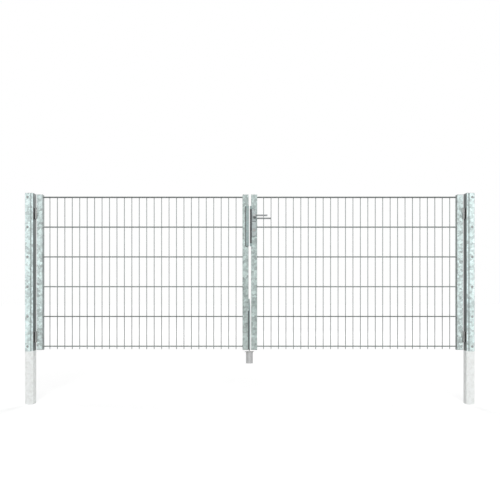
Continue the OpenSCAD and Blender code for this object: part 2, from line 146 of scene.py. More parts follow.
class NodeSheet:
    """A node tree being laid out, with short calls for its nodes and links."""

    def __init__(self, tree: bpy.types.NodeTree) -> None:
        """Keep a material's, group's or world's tree, emptied for the new nodes."""
        self.tree = tree
        tree.nodes.clear()

    def put(self, kind: str, feeds: dict[Union[int, str], Feed] | None = None,
            **settings: object) -> bpy.types.Node:
        """Add a node.

        Args:
            kind: The node's type name.
            feeds: What feeds its inputs, by number or name.
            **settings: Properties to set on it.

        Returns:
            The new node.
        """
        node = self.tree.nodes.new(kind)
        for name, value in settings.items():
            setattr(node, name, value)
        for key, source in (feeds or {}).items():
            self.feed(node.inputs[key], source)
        return node

    def feed(self, target: Socket, source: Feed) -> None:
        """Link a socket to a source, or set its value.

        Args:
            target: The input socket.
            source: An output socket, a number or a vector.
        """
        if isinstance(source, bpy.types.NodeSocket):
            self.tree.links.new(source, target)
        else:
            target.default_value = source

    def math(self, operation: str, a: Feed, b: Feed = 0.0, clamp: bool = False) -> Socket:
        """Give the result of an operation on two values, kept from 0 to 1 if clamped."""
        return self.put("ShaderNodeMath", {0: a, 1: b}, operation=operation, use_clamp=clamp).outputs[0]

    def product(self, *values: Feed) -> Socket:
        """Multiply values.

        Args:
            *values: Two values or more.

        Returns:
            Their product.
        """
        result = values[0]
        for value in values[1:]:
            result = self.math("MULTIPLY", result, value)
        return result

    def mix(self, factor: Feed, a: Feed, b: Feed, blend: str = "MIX") -> Socket:
        """Mix two colours.

        Args:
            factor: Share of the second colour.
            a: First colour, a socket or three numbers.
            b: Second colour, likewise.
            blend: The way of mixing.

        Returns:
            The mixed colour.
        """
        a, b = ((*colour, 1.0) if isinstance(colour, tuple) else colour for colour in (a, b))
        return self.put("ShaderNodeMix", {0: factor, 6: a, 7: b}, data_type="RGBA", blend_type=blend,
                        clamp_factor=True).outputs[2]

    def remap(self, value: Feed, low: float, high: float, to_low: Feed = 0.0, to_high: Feed = 1.0) -> Socket:
        """Bring a value from the first range to the second, and keep it inside that."""
        feeds = dict(enumerate((value, low, high, to_low, to_high)))
        return self.put("ShaderNodeMapRange", feeds).outputs[0]

    def place(self, stretch: Point = (1.0, 1.0, 1.0)) -> Socket:
        """Give a point's object coordinates, each multiplied by its stretch."""
        where = self.put("ShaderNodeTexCoord").outputs["Object"]
        return self.put("ShaderNodeMapping", {"Vector": where, "Scale": stretch}).outputs[0]

    def axis(self, index: int) -> Socket:
        """Give one coordinate of a point's place: 0 for X, 1 for Y or 2 for Z."""
        return self.put("ShaderNodeSeparateXYZ", {0: self.place()}).outputs[index]

    def reach(self) -> Socket:
        """Give a point's distance from the plane between the leaves."""
        return self.math("ABSOLUTE", self.math("SUBTRACT", self.axis(0), MIDDLE_X))

    def noise(self, where: Socket, scale: Feed, detail: float = 3.0, rough: float = 0.55) -> Socket:
        """Give a noise of so many lumps per metre, with finer layers of some strength."""
        feeds = {"Vector": where, "Scale": scale, "Detail": detail, "Roughness": rough}
        return self.put("ShaderNodeTexNoise", feeds).outputs["Fac"]


class EffectGroup:
    """A shader node group with named inputs and outputs."""

    def __init__(self, name: str, inputs: dict[str, Feed], outputs: dict[str, str]) -> None:
        """Make the group and its sockets.

        Args:
            name: The group's name.
            inputs: Each input's name and its usual value, a number or a colour.
            outputs: Each output's name and its kind: Float, Color or Vector.
        """
        self.tree = bpy.data.node_groups.new(name, "ShaderNodeTree")
        for title, value in inputs.items():
            kind = "NodeSocketFloat" if isinstance(value, float) else "NodeSocketColor"
            socket = self.tree.interface.new_socket(title, in_out="INPUT", socket_type=kind)
            socket.default_value = value if isinstance(value, float) else (*value, 1.0)
        for title, kind in outputs.items():
            self.tree.interface.new_socket(title, in_out="OUTPUT", socket_type="NodeSocket" + kind)
        self.sheet = NodeSheet(self.tree)
        self.entry = self.sheet.put("NodeGroupInput").outputs
        self.exit = self.sheet.put("NodeGroupOutput").inputs

    def use(self, sheet: NodeSheet, **values: Feed) -> bpy.types.bpy_prop_collection:
        """Place the group in a material.

        Args:
            sheet: The material's sheet.
            **values: What feeds each input, with _ for a space in its name.

        Returns:
            The placed group's outputs.
        """
        node = sheet.put("ShaderNodeGroup", node_tree=self.tree)
        for name, value in values.items():
            if isinstance(value, tuple):
                value = (*value, 1.0)
            sheet.feed(node.inputs[name.replace("_", " ")], value)
        return node.outputs


class Effects:
    """The effects that the finishes share, each built once."""

    def __init__(self) -> None:
        """Build every group."""
        self.spangle = self._spangle()
        self.edges = self._edges()
        self.dust = self._dust()
        self.scuffs = self._scuffs()
        self.lee = self._lee()

    @staticmethod
    def _spangle() -> EffectGroup:
        """Build the crystals, run-off streaks and bloom of a zinc bath.

        Returns:
            The group.
        """
        inputs = {"Colour": (0.6, 0.66, 0.66), "Cells": 55.0, "Contrast": 0.3, "Streaks": 0.2}
        group = EffectGroup("Zinc spangle", inputs, {"Colour": "Color", "Bloom": "Float", "Height": "Float"})
        sheet, entry = group.sheet, group.entry
        where = sheet.place()
        wobble = sheet.put("ShaderNodeTexNoise", {"Vector": where, "Scale": 90.0}).outputs["Color"]
        shifted = sheet.put("ShaderNodeVectorMath", {0: wobble, 1: (0.012, 0.012, 0.012), 2: where},
                            operation="MULTIPLY_ADD").outputs[0]
        feeds = {"Vector": shifted, "Scale": entry["Cells"], "Smoothness": 0.45}
        cells = sheet.put("ShaderNodeTexVoronoi", feeds, feature="SMOOTH_F1")
        finer = sheet.product(entry["Cells"], 2.7)
        grains = sheet.put("ShaderNodeTexVoronoi", {"Vector": shifted, "Scale": finer})
        broad = sheet.put("ShaderNodeSeparateColor", {0: cells.outputs["Color"]}).outputs[0]
        small = sheet.put("ShaderNodeSeparateColor", {0: grains.outputs["Color"]}).outputs[1]
        crystal = sheet.math("ADD", sheet.product(broad, 0.72), sheet.product(small, 0.28))
        fine = sheet.noise(where, 420.0, 4.0, 0.65)
        runs = sheet.noise(sheet.place((70.0, 70.0, 5.0)), 1.0, 4.0, 0.6)
        cloud = sheet.noise(where, 9.0)
        gain: Feed = 1.0
        for wave, share in ((crystal, entry["Contrast"]), (fine, entry["Contrast"]),
                            (runs, entry["Streaks"]), (cloud, 0.3)):
            gain = sheet.math("ADD", gain, sheet.product(sheet.math("SUBTRACT", wave, 0.5), share))
        shade = sheet.put("ShaderNodeCombineColor", {0: gain, 1: gain, 2: gain}).outputs[0]
        sheet.feed(group.exit["Colour"], sheet.mix(1.0, entry["Colour"], shade, "MULTIPLY"))
        bloom = sheet.math("ADD", sheet.product(crystal, 0.6), sheet.product(cloud, 0.4), clamp=True)
        sheet.feed(group.exit["Bloom"], bloom)
        relief = sheet.math("ADD", sheet.product(grains.outputs["Distance"], 0.6), fine)
        sheet.feed(group.exit["Height"], relief)
        return group

    @staticmethod
    def _edges() -> EffectGroup:
        """Build the rounding and rubbing of edges.

        Returns:
            The group.
        """
        group = EffectGroup("Rubbed edges", {"Radius": 0.0015, "Breakup": 60.0},
                            {"Mask": "Float", "Normal": "Vector"})
        sheet, entry = group.sheet, group.entry
        rounded = sheet.put("ShaderNodeBevel", {"Radius": entry["Radius"]}, samples=4).outputs[0]
        plain = sheet.put("ShaderNodeNewGeometry").outputs["Normal"]
        compare = sheet.put("ShaderNodeVectorMath", {0: rounded, 1: plain}, operation="DOT_PRODUCT")
        bend = sheet.remap(compare.outputs["Value"], 0.995, 0.86)
        patchy = sheet.remap(sheet.noise(sheet.place(), entry["Breakup"]), 0.35, 0.62, 0.25)
        sheet.feed(group.exit["Mask"], sheet.math("MULTIPLY", bend, patchy, clamp=True))
        sheet.feed(group.exit["Normal"], rounded)
        return group

    @staticmethod
    def _dust() -> EffectGroup:
        """Build the dust that settles on ledges and the splash above the ground.

        Returns:
            The group.
        """
        group = EffectGroup("Settled dust", {"Splash": 0.25, "Ledge": 0.5}, {"Mask": "Float"})
        sheet, entry = group.sheet, group.entry
        near = sheet.remap(sheet.axis(2), GROUND_Z + 0.30, GROUND_Z - 0.02)
        speckle = sheet.remap(sheet.noise(sheet.place(), 38.0, 5.0, 0.7), 0.42, 0.66)
        splash = sheet.product(near, speckle, entry["Splash"])
        normal = sheet.put("ShaderNodeNewGeometry").outputs["Normal"]
        up = sheet.put("ShaderNodeSeparateXYZ", {0: normal}).outputs[2]
        grit = sheet.remap(sheet.noise(sheet.place(), 160.0, 4.0), 0.35, 0.65, 0.3)
        ledge = sheet.product(sheet.remap(up, 0.55, 0.95), grit, entry["Ledge"])
        sheet.feed(group.exit["Mask"], sheet.math("MAXIMUM", splash, ledge, clamp=True))
        return group

    @staticmethod
    def _scuffs() -> EffectGroup:
        """Build fine drawn lines and rubbed spots.

        Returns:
            The group.
        """
        axes = ("Along X", "Along Y", "Along Z")
        group = EffectGroup("Drawn grain", dict.fromkeys(axes, 1.0), {"Grain": "Float", "Height": "Float"})
        sheet, entry = group.sheet, group.entry
        feeds = {index: entry[name] for index, name in enumerate(axes)}
        stretch = sheet.put("ShaderNodeCombineXYZ", feeds).outputs[0]
        lines = sheet.put("ShaderNodeVectorMath", {0: sheet.place(), 1: stretch}, operation="MULTIPLY")
        drawn = sheet.noise(lines.outputs[0], 1.0, 5.0, 0.6)
        spots = sheet.noise(sheet.place(), 75.0, 4.0, 0.6)
        grain = sheet.math("ADD", sheet.product(drawn, 0.7), sheet.product(spots, 0.3), clamp=True)
        sheet.feed(group.exit["Grain"], grain)
        sheet.feed(group.exit["Height"], drawn)
        return group

    @staticmethod
    def _lee() -> EffectGroup:
        """Build painted shade on the faces that look along the gate, broken into soft clouds.

        Returns:
            The group.
        """
        group = EffectGroup("Painted side shade", {"Share": 0.5, "Turned": 0.7}, {"Mask": "Float"})
        sheet, entry = group.sheet, group.entry
        normal = sheet.put("ShaderNodeTexCoord").outputs["Normal"]
        way = sheet.put("ShaderNodeSeparateXYZ", {0: normal}).outputs[0]
        full = sheet.math("ADD", sheet.product(entry["Turned"], 0.5), 0.49)
        turned = sheet.remap(sheet.math("ABSOLUTE", way), entry["Turned"], full)
        cloud = sheet.remap(sheet.noise(sheet.place((20.0, 20.0, 6.0)), 1.0, 4.0), 0.3, 0.7, 0.8)
        sheet.feed(group.exit["Mask"], sheet.product(turned, cloud, entry["Share"]))
        return group


class Ramp(Enum):
    """What the edge of a zone is measured by."""

    REACH = "distance from the plane between the leaves"
    HEIGHT = "height above the posts' feet"


@dataclass(frozen=True)
class Zone:
    """A part of the gate where a finish takes another tone, in full past the end of every ramp."""

    colour: Colour
    share: float
    ramps: tuple[tuple[Ramp, float, float], ...]

    def mask(self, sheet: NodeSheet) -> Socket:
        """Give the other tone's share.

        Args:
            sheet: The material's sheet.

        Returns:
            The share at each point.
        """
        parts = [sheet.remap(sheet.reach() if ramp is Ramp.REACH else sheet.axis(2), start, end)
                 for ramp, start, end in self.ramps]
        return sheet.product(self.share, *parts)


@dataclass(frozen=True)
class Finish:
    """What every finish has: a name, a colour and how it shines."""

    name: str
    colour: Colour
    metallic: float = 0.12
    specular: float = 0.4
    smooth: float = 0.42
    dull: float = 0.62
    radius: float = 0.0012
    splash: float = 0.25
    ledge: float = 0.45
    dust: Colour = (0.50, 0.49, 0.46)
    worn_colour: Colour = (0.75, 0.76, 0.75)
    worn_share: float = 0.45
    anisotropic: float = 0.0
    zones: tuple[Zone, ...] = ()

    def material(self, effects: Effects) -> bpy.types.Material:
        """Build the finish's material.

        Args:
            effects: The shared effects.

        Returns:
            The material.
        """
        made = bpy.data.materials.new(self.name)
        made.use_nodes = True
        made.diffuse_color = (*self.colour, 1.0)
        sheet = NodeSheet(made.node_tree)
        edges = effects.edges.use(sheet, Radius=self.radius)
        colour, rough, relief, depth = self.surface(sheet, effects, edges["Mask"])
        for zone in self.zones:
            colour = sheet.mix(zone.mask(sheet), colour, zone.colour)
        dust = effects.dust.use(sheet, Splash=self.splash, Ledge=self.ledge)["Mask"]
        bump = sheet.put("ShaderNodeBump", {"Distance": depth, "Height": relief, "Normal": edges["Normal"]})
        feeds = {"Metallic": self.metallic, "Specular IOR Level": self.specular,
                 "Anisotropic": self.anisotropic, "Normal": bump.outputs[0],
                 "Base Color": sheet.mix(dust, colour, self.dust),
                 "Roughness": sheet.remap(dust, 0.0, 1.0, rough, 0.85)}
        shader = sheet.put("ShaderNodeBsdfPrincipled", feeds)
        sheet.put("ShaderNodeOutputMaterial", {"Surface": shader.outputs[0]})
        return made

    def surface(self, sheet: NodeSheet, effects: Effects, worn: Socket) -> Layout:
        """Lay out the finish's colour, roughness, relief and the relief's depth in metres."""
        raise NotImplementedError


@dataclass(frozen=True)
class HotZinc(Finish):
    """Hot-dip galvanising: crystals, run-off streaks, and pale lime bloom below the ground."""

    cells: float = 55.0
    contrast: float = 0.5
    streaks: float = 0.26
    worn_share: float = 0.6
    worn_gain: float = 1.18
    # Painted shade on the faces that look along the gate: its share, its colour and how far a face must turn.
    film: float = 0.0
    film_colour: Colour = (0.13, 0.15, 0.148)
    turned: float = 0.7
    buried: bool = False
    bloom: Colour = (0.98, 1.0, 0.99)
    bloom_share: float = 0.96

    def surface(self, sheet: NodeSheet, effects: Effects, worn: Socket) -> Layout:
        """Lay out crystals, streaks, rubbed edges, painted shade on the side faces and the bloom of a buried
        length.

        Args:
            sheet: The material's sheet.
            effects: The shared effects.
            worn: The mask of rubbed edges.

        Returns:
            Colour, roughness, relief and the relief's depth.
        """
        zinc = effects.spangle.use(sheet, Colour=self.colour, Cells=self.cells, Contrast=self.contrast,
                                   Streaks=self.streaks)
        bright = tuple(min(1.0, part * self.worn_gain) for part in self.colour)
        colour = sheet.mix(sheet.product(worn, self.worn_share), zinc["Colour"], bright)
        # Painted shade: faces that look along the gate are mixed toward a darker colour.
        if self.film:
            film = effects.lee.use(sheet, Share=self.film, Turned=self.turned)["Mask"]
            colour = sheet.mix(film, colour, self.film_colour)
        rough = sheet.remap(zinc["Bloom"], 0.15, 0.85, self.smooth, self.dull)
        if self.buried:
            ragged = sheet.product(sheet.math("SUBTRACT", sheet.noise(sheet.place(), 60.0), 0.5), 6.0 * MM)
            level = sheet.math("ADD", sheet.axis(2), ragged)
            below = sheet.remap(level, GROUND_Z + 6.0 * MM, GROUND_Z + MM, 0.0, self.bloom_share)
            colour = sheet.mix(below, colour, self.bloom)
            rough = sheet.remap(below, 0.0, self.bloom_share, rough, 0.8)
        return colour, rough, zinc["Height"], 0.22 * MM


@dataclass(frozen=True)
class DrawnMetal(Finish):
    """Plated or rolled metal with a drawn grain and rubbed edges."""

    grain: Point = (900.0, 900.0, 25.0)
    spread: float = 0.2

    def surface(self, sheet: NodeSheet, effects: Effects, worn: Socket) -> Layout:
        """Lay out the grain, the tone's drift and the rubbed edges.

        Args:
            sheet: The material's sheet.
            effects: The shared effects.
            worn: The mask of rubbed edges.

        Returns:
            Colour, roughness, relief and the relief's depth.
        """
        along_x, along_y, along_z = self.grain
        drawn = effects.scuffs.use(sheet, Along_X=along_x, Along_Y=along_y, Along_Z=along_z)
        low, high = (tuple(min(1.0, part * gain) for part in self.colour)
                     for gain in (1.0 - self.spread, 1.0 + self.spread))
        tone = sheet.remap(drawn["Grain"], 0.3, 0.7)
        base = sheet.mix(tone, low, high)
        colour = sheet.mix(sheet.product(worn, self.worn_share), base, self.worn_colour)
        rough = sheet.remap(tone, 0.0, 1.0, self.dull, self.smooth)
        return colour, rough, drawn["Height"], 0.06 * MM


@dataclass(frozen=True)
class Mottled(Finish):
    """A skin with clouds of a duller tone, such as dressed welds and rubber have."""

    cloud: tuple[float, float, float] = (70.0, 5.0, 0.6)
    span: tuple[float, float] = (0.4, 0.7)
    cloud_colour: Colour = (0.12, 0.12, 0.125)
    skin: tuple[float, float, float] = (1400.0, 3.0, 0.5)
    depth: float = 0.08 * MM

    def surface(self, sheet: NodeSheet, effects: Effects, worn: Socket) -> Layout:
        """Lay out the clouds, the rubbed edges and the skin.

        Args:
            sheet: The material's sheet.
            effects: The shared effects.
            worn: The mask of rubbed edges.

        Returns:
            Colour, roughness, relief and the relief's depth.
        """
        share = sheet.remap(sheet.noise(sheet.place(), *self.cloud), *self.span)
        base = sheet.mix(share, self.colour, self.cloud_colour)
        colour = sheet.mix(sheet.product(worn, self.worn_share), base, self.worn_colour)
        rough = sheet.remap(share, 0.0, 1.0, self.smooth, self.dull)
        return colour, rough, sheet.noise(sheet.place(), *self.skin), self.depth


class Paintbox:
    """Every finish of the gate, made when it is first asked for."""

    # Painted shade: the post's front darkens at its rounded inner corner beside the leaf, above the ground
    # line.
    POST_CORNER_SHADE = Zone((0.145, 0.172, 0.169), 0.75, ((Ramp.REACH, 1.4470, 1.4462),
                                                    (Ramp.HEIGHT, GROUND_Z + MM, GROUND_Z + 6.0 * MM)))
    # Painted shade: the top row of rods is darkened.
    TOP_ROW_SHADE = Zone((0.08, 0.09, 0.088), 0.63, ((Ramp.HEIGHT, 1.370, 1.376),))
    # Painted shade: the wires are darkened in a band from about 0.40 m to 0.60 m high.
    LOW_WIRE_SHADE = Zone((0.08, 0.09, 0.088), 0.42, ((Ramp.HEIGHT, 0.62, 0.58), (Ramp.HEIGHT, 0.395, 0.401)))
    HINGE_PADS = Zone((0.52, 0.58, 0.57), 1.0, ((Ramp.REACH, 1.4185, 1.4175),))

    # Posts, cover strips and stiles below take painted shade on the faces that look along the gate.
    POST = HotZinc("post zinc", (0.70, 0.82, 0.815), contrast=0.9, buried=True, film=0.83, ledge=0.3,
                   zones=(POST_CORNER_SHADE,))
    STRIP = HotZinc("strip zinc", (0.73, 0.86, 0.85), contrast=0.75, cells=70.0, film=0.85, turned=0.4)
    CAP = HotZinc("cap zinc", (0.46, 0.50, 0.495), contrast=0.3, cells=80.0, dull=0.62)
    STILE = HotZinc("hinge stile zinc", (0.63, 0.73, 0.72), cells=62.0, contrast=0.95, film=0.7, ledge=0.3)
    # A darker copy of the stile zinc: painted shade on the meeting stiles.
    MEETING = HotZinc("meeting stile zinc, painted darker", (0.40, 0.475, 0.46), cells=62.0, contrast=1.0, film=0.35,
                      ledge=0.3)
    WIRE = HotZinc("wire zinc", (0.27, 0.30, 0.295), cells=110.0, contrast=0.3, streaks=0.1, splash=0.0,
                   radius=0.0006, zones=(TOP_ROW_SHADE, LOW_WIRE_SHADE))
    FITTING = HotZinc("fitting zinc", (0.27, 0.345, 0.34), cells=90.0, contrast=0.35, streaks=0.12)
    HINGE = DrawnMetal("hinge steel", (0.25, 0.255, 0.25), metallic=0.5, smooth=0.28, dull=0.42,
                       grain=(300.0, 300.0, 700.0), zones=(HINGE_PADS,))
    # Near-black: partly the plates' dark finish, partly painted shade of the narrow gap beside the hinge
    # barrel.
    HINGE_PLATE = DrawnMetal("hinge plate", (0.012, 0.013, 0.014), metallic=0.05, specular=0.25, smooth=0.5,
                             dull=0.65, worn_colour=(0.2, 0.21, 0.21), worn_share=0.2, ledge=0.2)
    # Painted shade: the lock forend is dark to stand for the shaded gap between the leaves.
    DARK_PLATE = DrawnMetal("dark plate", (0.038, 0.040, 0.043), metallic=0.15, smooth=0.4, dull=0.55,
                            spread=0.25, worn_colour=(0.32, 0.33, 0.33), worn_share=0.35)
    SCREW = DrawnMetal("screw zinc", (0.32, 0.335, 0.33), metallic=0.6, smooth=0.34, dull=0.48,
                       grain=(500.0, 500.0, 500.0))
    SLEEVE = DrawnMetal("sleeve steel", (0.47, 0.475, 0.475), metallic=0.45, smooth=0.34, dull=0.5,
                        grain=(60.0, 60.0, 900.0), splash=0.0)
    ROD = DrawnMetal("rod steel", (0.42, 0.43, 0.43), metallic=0.7, smooth=0.28, dull=0.42)
    LOCK_STEEL = DrawnMetal("lock case steel", (0.22, 0.225, 0.23), metallic=0.6, smooth=0.35, dull=0.5)
    LOCK_PLATE = DrawnMetal("lock plate aluminium", (0.29, 0.33, 0.33), metallic=0.3, smooth=0.42, dull=0.55,
                            spread=0.1, grain=(1400.0, 1400.0, 18.0), anisotropic=0.4)
    LEVER = DrawnMetal("lever aluminium", (0.27, 0.285, 0.29), metallic=0.35, smooth=0.38, dull=0.5,
                       spread=0.1, grain=(18.0, 900.0, 900.0), anisotropic=0.4)
    BRASS = DrawnMetal("nickelled brass", (0.27, 0.27, 0.26), metallic=0.35, smooth=0.42, dull=0.55,
                       spread=0.12)
    # Black rubber strips stand for painted shade lines: beside the strike plate and the bolt cover, under the
    # strike's foot and in the lock plates' joints.
    RUBBER = Mottled("black rubber", (0.055, 0.055, 0.058), metallic=0.0, smooth=0.62, dull=0.8, splash=0.1,
                     ledge=0.3, worn_colour=(0.16, 0.16, 0.165), worn_share=0.5)
    WELD = Mottled("dressed weld", (0.50, 0.53, 0.525), metallic=0.4, smooth=0.45, dull=0.65,
                   worn_colour=(0.6, 0.62, 0.61), worn_share=0.3, cloud=(260.0, 5.0, 0.65), span=(0.62, 0.42),
                   cloud_colour=(0.20, 0.19, 0.18), skin=(500.0, 4.0, 0.55), depth=0.3 * MM)

    def __init__(self, effects: Effects) -> None:
        """Keep the shared effects."""
        self.effects = effects
        self.made: dict[str, bpy.types.Material] = {}

    def get(self, finish: Finish) -> bpy.types.Material:
        """Give a finish's material.

        Args:
            finish: The finish.

        Returns:
            Its one material.
        """
        if finish.name not in self.made:
            self.made[finish.name] = finish.material(self.effects)
        return self.made[finish.name]



class Piece:
    """One added mesh, built in metres at its place on the gate."""

    BEAD_SIDES = 8
    HILL = 0.12
    DIP = -0.06
    UNEVEN = 0.05
    END_SHARE = 0.5

    def __init__(self, name: str) -> None:
        """Start an empty mesh."""
        self.name = name
        self.mesh = bmesh.new()

    def ring_skin(self, rings: Sequence[Sequence[Vector]], closed: bool = False) -> None:
        """Skin a row of rings, with a fan on each end unless they close on themselves.

        Args:
            rings: Rings of the same number of points, in order.
            closed: Whether the last ring joins the first.
        """
        rows = [[self.mesh.verts.new(point) for point in ring] for ring in rings]
        pairs = list(zip(rows, rows[1:]))
        if closed:
            pairs.append((rows[-1], rows[0]))
        for low, high in pairs:
            for index in range(len(low)):
                after = (index + 1) % len(low)
                self.mesh.faces.new((low[index], low[after], high[after], high[index]))
        if not closed:
            self.mesh.faces.new(list(reversed(rows[0])))
            self.mesh.faces.new(rows[-1])

    def lathe(self, profile: Sequence[tuple[float, float]], place: Matrix, sides: int = 32,
              closed: bool = False) -> None:
        """Turn a profile round the local Z axis.

        Args:
            profile: Radius and height of each ring, in metres.
            place: Where the turned form goes.
            sides: How many sides it has.
            closed: Whether the profile closes on itself, as a washer's does.
        """
        turns = [TURN * index / sides for index in range(sides)]
        self.ring_skin([[place @ Vector((radius * math.cos(turn), radius * math.sin(turn), height))
                         for turn in turns] for radius, height in profile], closed)

    def bead(self, path: Sequence[Vector], radius: float, chance: random.Random,
             ripple: float = 1.6 * MM) -> None:
        """Lay a weld bead with its ripples along a path.

        Args:
            path: Corner points of the path.
            radius: The bead's radius.
            chance: Source of its unevenness.
            ripple: Spacing of the ripples.
        """
        points: list[Vector] = []
        for start, end in zip(path, path[1:]):
            steps = max(2, round((end - start).length / (ripple / 2.0)))
            points += [start.lerp(end, step / steps) for step in range(steps)]
        points.append(path[-1].copy())
        rings = []
        for index, point in enumerate(points):
            ahead = points[min(index + 1, len(points) - 1)] - points[max(index - 1, 0)]
            turn = ahead.to_track_quat("Z", "Y")
            swell = 1.0 + (self.HILL if index % 2 else self.DIP) + chance.uniform(-self.UNEVEN, self.UNEVEN)
            if index in (0, len(points) - 1):
                swell *= self.END_SHARE
            rings.append([point + turn @ (Vector((math.cos(t), math.sin(t), 0.0)) * radius * swell)
                          for t in (TURN * side / self.BEAD_SIDES for side in range(self.BEAD_SIDES))])
        self.ring_skin(rings)

    def done(self, body: Body, slot: Slot, material: bpy.types.Material) -> None:
        """Turn the mesh into an object that rides on its body.

        Args:
            body: The part of the gate that it moves with.
            slot: The record's slot for its finish; not used.
            material: Its material.
        """
        bmesh.ops.recalc_face_normals(self.mesh, faces=self.mesh.faces)
        data = bpy.data.meshes.new(self.name)
        self.mesh.to_mesh(data)
        self.mesh.free()
        data.shade_smooth()
        data.set_sharp_from_angle(angle=SMOOTH_ANGLE)
        made = bpy.data.objects.new(self.name, data)
        bpy.context.scene.collection.objects.link(made)
        data.materials.append(material)
        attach(made, body.value)
        log.info("%s: %d faces on %s", self.name, len(data.polygons), body.value)


def facing(where: Vector, toward: Vector) -> Matrix:
    """Give the place of a turned form from its foot and the way its axis points."""
    return Matrix.Translation(where) @ toward.to_track_quat("Z", "Y").to_matrix().to_4x4()


@dataclass
class SubAssembly:
    """A part of the gate that dresses its own nodes and builds its own small pieces."""

    frame: dict
    paints: Paintbox

    def dress(self, finish: Finish, *nodes: str) -> None:
        """Give nodes a finish.

        Args:
            finish: The finish.
            *nodes: Names of the nodes.
        """
        material = self.paints.get(finish)
        for name in nodes:
            holder = self.frame["nodes"][name]
            if not holder.material_slots:
                holder.data.materials.append(material)
            for place in holder.material_slots:
                place.material = material
            log.info("%s: %s", name, finish.name)

    def box(self, node: str) -> tuple[Vector, Vector]:
        """Give a node's lowest and highest corners."""
        low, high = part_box(node)
        return Vector(low), Vector(high)

    def build(self) -> None:
        """Dress the nodes and add the small pieces."""
        raise NotImplementedError


@dataclass
class Posts(SubAssembly):
    """Both posts with their caps, cover strips, screws and hinge plates."""

    bead_r: float = 1.7 * MM
    plate_h: float = 71.0 * MM
    screw_count: int = 6
    screw_r: float = 6.5 * MM
    washer_r: float = 8.4 * MM
    washer_t: float = 0.9 * MM
    seed: int = 11

    def build(self) -> None:
        """Dress the posts, then add washers and the welds of the hinge plates."""
        for side in Side:
            for finish, part in ((Paintbox.POST, "post"), (Paintbox.CAP, "post_cap"),
                                 (Paintbox.STRIP, "cover_strip"), (Paintbox.SCREW, "strip_screws"),
                                 (Paintbox.HINGE_PLATE, "hinge_plates")):
                self.dress(finish, f"{side.word}_{part}")
            self.strip_washers(side)
            self.plate_welds(side)

    def strip_washers(self, side: Side) -> None:
        """Put a thin washer round the foot of each screw of a cover strip.

        Args:
            side: The post's side.
        """
        low, high = self.box(f"{side.word}_strip_screws")
        washers = Piece(f"{side.word}_strip_washers")
        bore_r = self.screw_r - 0.4 * MM
        profile = [(bore_r, -0.3 * MM), (self.washer_r, -0.3 * MM), (self.washer_r, 0.6 * self.washer_t),
                   (self.washer_r - 0.3 * MM, self.washer_t), (bore_r, self.washer_t)]
        pitch = (high.z - low.z - 2.0 * self.screw_r) / (self.screw_count - 1)
        for index in range(self.screw_count):
            where = Vector(((low.x + high.x) / 2.0, high.y, low.z + self.screw_r + index * pitch))
            washers.lathe(profile, facing(where, FRONT), 36, closed=True)
        washers.done(Body.POSTS, Slot.SCREW, self.paints.get(Paintbox.SCREW))

    def plate_welds(self, side: Side) -> None:
        """Weld the hinge plates to a post.

        Args:
            side: The post's side.
        """
        low, high = self.box(f"{side.word}_hinge_plates")
        chance = random.Random(self.seed + side.value)
        welds = Piece(f"{side.word}_plate_welds")
        face = high.x if side is Side.RIGHT else low.x
        for foot in (low.z, high.z - self.plate_h):
            for edge in (low.y, high.y):
                start = Vector((face, edge, foot + 2.0 * MM))
                welds.bead([start, start + UP * (self.plate_h - 4.0 * MM)], self.bead_r, chance)
            for level in (foot, foot + self.plate_h):
                start = Vector((face, low.y + 2.0 * MM, level))
                welds.bead([start, Vector((face, high.y - 2.0 * MM, level))], self.bead_r, chance)
        welds.done(Body.POSTS, Slot.POST, self.paints.get(Paintbox.WELD))


